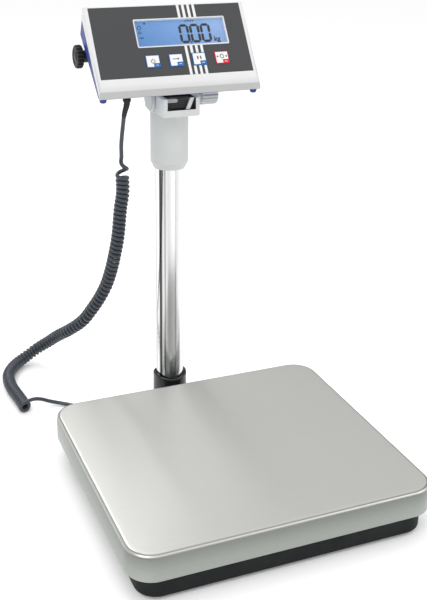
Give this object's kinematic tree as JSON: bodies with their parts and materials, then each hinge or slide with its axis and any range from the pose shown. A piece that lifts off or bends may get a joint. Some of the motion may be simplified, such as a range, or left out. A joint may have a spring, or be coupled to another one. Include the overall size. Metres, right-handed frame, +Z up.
{
  "type": "bench scale",
  "caption": "Bench scale: a folded steel weighing plate on a low base with levelling feet, and a tilting display head with keys on a rear column, joined by a curly cord.",
  "frame": {"origin": "on the bench, under the middle of the whole object without its cord", "axes": "+Z up, -Y the front where the user stands, +X to the right as the user sees it"},
  "size_m": [0.3562, 0.5356, 0.5035],
  "materials": {
    "stainless": "fine straight brushed grain",
    "base_black": "dark moulded plastic",
    "painted_steel": "smooth paint",
    "cell_alloy": "machined",
    "fastener": "zinc plated",
    "black_rubber": "moulded rubber",
    "column_bright": "polished tube",
    "foot_gloss": "glossy",
    "holder_grey": "fine moulded texture",
    "neck_black": "ribbed",
    "yoke_grey": "satin paint",
    "knob_black": "knurled",
    "shell_white": "satin",
    "shell_blue": "satin",
    "overlay_grey": "satin label film",
    "window_clear": "clear",
    "lcd_blue": "backlit",
    "backlight_white": "diffuse",
    "board_green": "solder mask",
    "key_rubber": "silicone",
    "key_grey": "embossed film",
    "battery_wrap": "shrink wrap",
    "cord_rubber": "semi-gloss sheath"
  },
  "bodies": {
    "root": {"plate_buffers": "black_rubber", "load_carrier": "painted_steel", "load_cell": "cell_alloy", "upper_spacer": "fastener", "lower_spacer": "fastener", "cell_screws": "fastener", "overload_stops": "fastener", "base_plate": "painted_steel", "base_screws": "fastener", "base_housing": "base_black", "base_cable_gland": "black_rubber", "column_foot": "foot_gloss", "column_foot_screws": "fastener", "column_tube": "column_bright", "column_clamp_screw": "fastener", "column_holder": "holder_grey", "neck_knuckle": "neck_black", "neck_pin": "fastener", "neck_stop": "yoke_grey", "neck_pawl": "holder_grey", "yoke": "yoke_grey", "yoke_screws": "fastener", "friction_washers": "neck_black", "cord_upper_lead": "cord_rubber", "cord_coil": "cord_rubber", "cord_lower_lead": "cord_rubber"},
    "plate": {"weighing_plate": "stainless"},
    "foot_front_left": {"foot_front_left": "black_rubber"},
    "foot_front_right": {"foot_front_right": "black_rubber"},
    "foot_rear_left": {"foot_rear_left": "black_rubber"},
    "foot_rear_right": {"foot_rear_right": "black_rubber"},
    "head": {"front_shell": "shell_white", "rear_shell": "shell_blue", "pivot_lugs": "shell_blue", "shell_screws": "fastener", "front_overlay": "overlay_grey", "window_lens": "window_clear", "lcd_panel": "lcd_blue", "backlight": "backlight_white", "main_board": "board_green", "key_mat": "key_rubber", "battery_pack": "battery_wrap", "power_socket": "knob_black", "head_cable_gland": "black_rubber", "pivot_bolts": "fastener"},
    "knob_left": {"knob_left": "knob_black"},
    "knob_right": {"knob_right": "knob_black"},
    "neck_knob": {"neck_clamp_knob": "holder_grey"},
    "key_power": {"key_power": "key_grey"},
    "key_units": {"key_units": "key_grey"},
    "key_hold": {"key_hold": "key_grey"},
    "key_zero": {"key_zero": "key_grey"},
    "battery_cover": {"battery_cover": "shell_blue"}
  },
  "joints": [
    {"name": "plate_lift", "type": "slide", "parent": "root", "child": "plate", "axis": [0, 0, 1], "range_m": [0, 0.05]},
    {"name": "foot_front_left_height", "type": "slide", "parent": "root", "child": "foot_front_left", "axis": [0, 0, 1], "range_m": [-0.008, 0]},
    {"name": "foot_front_right_height", "type": "slide", "parent": "root", "child": "foot_front_right", "axis": [0, 0, 1], "range_m": [-0.008, 0]},
    {"name": "foot_rear_left_height", "type": "slide", "parent": "root", "child": "foot_rear_left", "axis": [0, 0, 1], "range_m": [-0.008, 0]},
    {"name": "foot_rear_right_height", "type": "slide", "parent": "root", "child": "foot_rear_right", "axis": [0, 0, 1], "range_m": [-0.008, 0]},
    {"name": "head_tilt", "type": "hinge", "parent": "root", "child": "head", "pos_m": [0, 0.1832, 0.4472], "axis": [-1, 0, 0], "range_deg": [-2, 36], "deforming": ["cord_upper_lead"]},
    {"name": "knob_left_turn", "type": "hinge", "parent": "root", "child": "knob_left", "pos_m": [-0.105, 0.1832, 0.4472], "axis": [-1, 0, 0], "range_deg": [0, 180]},
    {"name": "knob_right_turn", "type": "hinge", "parent": "root", "child": "knob_right", "pos_m": [0.105, 0.1832, 0.4472], "axis": [1, 0, 0], "range_deg": [0, 180]},
    {"name": "neck_knob_turn", "type": "hinge", "parent": "root", "child": "neck_knob", "pos_m": [0.047, 0.16, 0.399], "axis": [1, 0, 0], "range_deg": [0, 180]},
    {"name": "key_power_press", "type": "slide", "parent": "head", "child": "key_power", "axis": [0, 0.829, -0.5592], "range_m": [0, 0.0005], "stiffness_N_per_m": 400, "springref_m": -0.001},
    {"name": "key_units_press", "type": "slide", "parent": "head", "child": "key_units", "axis": [0, 0.829, -0.5592], "range_m": [0, 0.0005], "stiffness_N_per_m": 400, "springref_m": -0.001},
    {"name": "key_hold_press", "type": "slide", "parent": "head", "child": "key_hold", "axis": [0, 0.829, -0.5592], "range_m": [0, 0.0005], "stiffness_N_per_m": 400, "springref_m": -0.001},
    {"name": "key_zero_press", "type": "slide", "parent": "head", "child": "key_zero", "axis": [0, 0.829, -0.5592], "range_m": [0, 0.0005], "stiffness_N_per_m": 400, "springref_m": -0.001},
    {"name": "battery_cover_off", "type": "slide", "parent": "head", "child": "battery_cover", "axis": [0, 0.6654, -0.7465], "range_m": [0, 0.012]}
  ]
}
